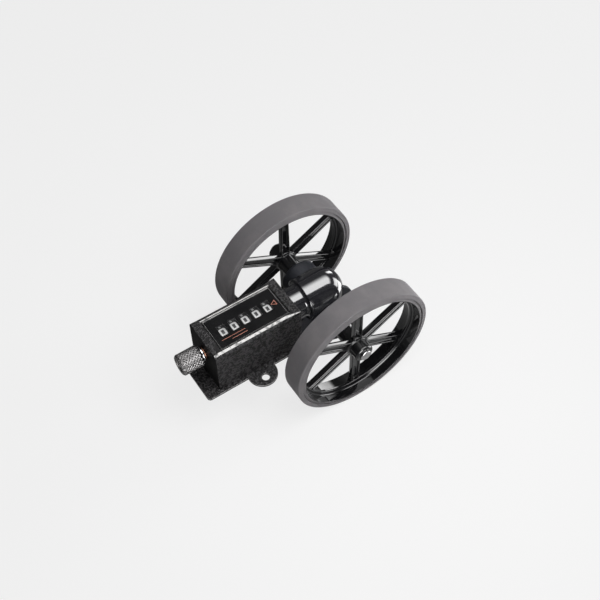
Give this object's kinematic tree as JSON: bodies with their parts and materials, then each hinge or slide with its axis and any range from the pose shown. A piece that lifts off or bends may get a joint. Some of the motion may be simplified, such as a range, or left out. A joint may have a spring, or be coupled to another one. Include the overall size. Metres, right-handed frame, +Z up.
{
  "type": "cable length counter",
  "caption": "Cable length counter: rubber-tyred measuring wheels on a common axle drive a mechanical figure counter through a gear head, with a knurled reset knob.",
  "frame": {"origin": "centre of the bounding box at its lowest level, where the tyres touch the ground", "axes": "+X along the axle, +Y along the counter's shaft from the reset knob to the gear head's dome, +Z up, out of the counter's face"},
  "size_m": [0.1146, 0.1644, 0.1061],
  "materials": {
    "tyre_grey": "matt grey, smooth tread",
    "wheel_black": "glossy black moulding",
    "bright_steel": "bright turned steel",
    "housing_grey": "matt blue-grey casting",
    "gloss_black": "glossy black enamel",
    "wrinkle_black": "black wrinkle paint, worn at the edges",
    "label_black": "smooth black",
    "clear_pane": "clear",
    "number_black": "matt black, white figures",
    "nylon_white": "natural nylon",
    "brass": "turned brass",
    "knob_silver": "knurled, silver-grey"
  },
  "bodies": {
    "frame": {"axle_housing": "housing_grey", "axle_bush_left": "brass", "axle_bush_right": "brass", "gear_case": "gloss_black", "gear_case_neck": "gloss_black", "neck_bush": "brass", "counter_case": "wrinkle_black", "base_plate": "wrinkle_black", "label_plate": "label_black", "window_lens": "clear_pane", "mechanism_frame": "bright_steel", "pinion_shaft": "bright_steel", "knob_bush": "brass"},
    "measuring_wheels": {"axle": "bright_steel", "axle_gear": "bright_steel", "wheel_left": "wheel_black", "wheel_right": "wheel_black", "tyre_left": "tyre_grey", "tyre_right": "tyre_grey", "hub_nut_left": "bright_steel", "hub_nut_right": "bright_steel"},
    "input": {"input_shaft": "bright_steel", "input_gear": "brass", "number_wheel_5": "number_black"},
    "number_wheel_4": {"number_wheel_4": "number_black"},
    "transfer_pinion_4": {"transfer_pinion_4": "nylon_white"},
    "number_wheel_3": {"number_wheel_3": "number_black"},
    "transfer_pinion_3": {"transfer_pinion_3": "nylon_white"},
    "number_wheel_2": {"number_wheel_2": "number_black"},
    "transfer_pinion_2": {"transfer_pinion_2": "nylon_white"},
    "number_wheel_1": {"number_wheel_1": "number_black"},
    "transfer_pinion_1": {"transfer_pinion_1": "nylon_white"},
    "reset": {"reset_shaft": "bright_steel", "knob_collar": "bright_steel", "reset_knob": "knob_silver"}
  },
  "joints": [
    {"name": "axle_spin", "type": "hinge", "parent": "frame", "child": "measuring_wheels", "pos_m": [0, 0.02918, 0.05305], "axis": [1, 0, 0], "continuous": true},
    {"name": "input_spin", "type": "hinge", "parent": "frame", "child": "input", "pos_m": [0, 0.02918, 0.06525], "axis": [0, 1, 0], "continuous": true},
    {"name": "number_4_spin", "type": "hinge", "parent": "frame", "child": "number_wheel_4", "pos_m": [0, 0.02918, 0.06525], "axis": [0, 1, 0], "continuous": true},
    {"name": "pinion_4_spin", "type": "hinge", "parent": "frame", "child": "transfer_pinion_4", "pos_m": [0, 0.02918, 0.05237], "axis": [0, 1, 0], "continuous": true},
    {"name": "number_3_spin", "type": "hinge", "parent": "frame", "child": "number_wheel_3", "pos_m": [0, 0.02918, 0.06525], "axis": [0, 1, 0], "continuous": true},
    {"name": "pinion_3_spin", "type": "hinge", "parent": "frame", "child": "transfer_pinion_3", "pos_m": [0, 0.02918, 0.05237], "axis": [0, 1, 0], "continuous": true},
    {"name": "number_2_spin", "type": "hinge", "parent": "frame", "child": "number_wheel_2", "pos_m": [0, 0.02918, 0.06525], "axis": [0, 1, 0], "continuous": true},
    {"name": "pinion_2_spin", "type": "hinge", "parent": "frame", "child": "transfer_pinion_2", "pos_m": [0, 0.02918, 0.05237], "axis": [0, 1, 0], "continuous": true},
    {"name": "number_1_spin", "type": "hinge", "parent": "frame", "child": "number_wheel_1", "pos_m": [0, 0.02918, 0.06525], "axis": [0, 1, 0], "continuous": true},
    {"name": "pinion_1_spin", "type": "hinge", "parent": "frame", "child": "transfer_pinion_1", "pos_m": [0, 0.02918, 0.05237], "axis": [0, 1, 0], "continuous": true},
    {"name": "reset_turn", "type": "hinge", "parent": "frame", "child": "reset", "pos_m": [0, 0.02918, 0.06525], "axis": [0, 1, 0], "continuous": true}
  ],
  "couplings": [
    {"joint": "input_spin", "follows": "axle_spin", "ratio": 0.33333},
    {"joint": "number_4_spin", "follows": "axle_spin", "ratio": 0.033333},
    {"joint": "pinion_4_spin", "follows": "axle_spin", "ratio": -0.083333},
    {"joint": "number_3_spin", "follows": "axle_spin", "ratio": 0.0033333},
    {"joint": "pinion_3_spin", "follows": "axle_spin", "ratio": -0.0083333},
    {"joint": "number_2_spin", "follows": "axle_spin", "ratio": 0.00033333},
    {"joint": "pinion_2_spin", "follows": "axle_spin", "ratio": -0.00083333},
    {"joint": "number_1_spin", "follows": "axle_spin", "ratio": 0.000033333},
    {"joint": "pinion_1_spin", "follows": "axle_spin", "ratio": -0.000083333}
  ]
}
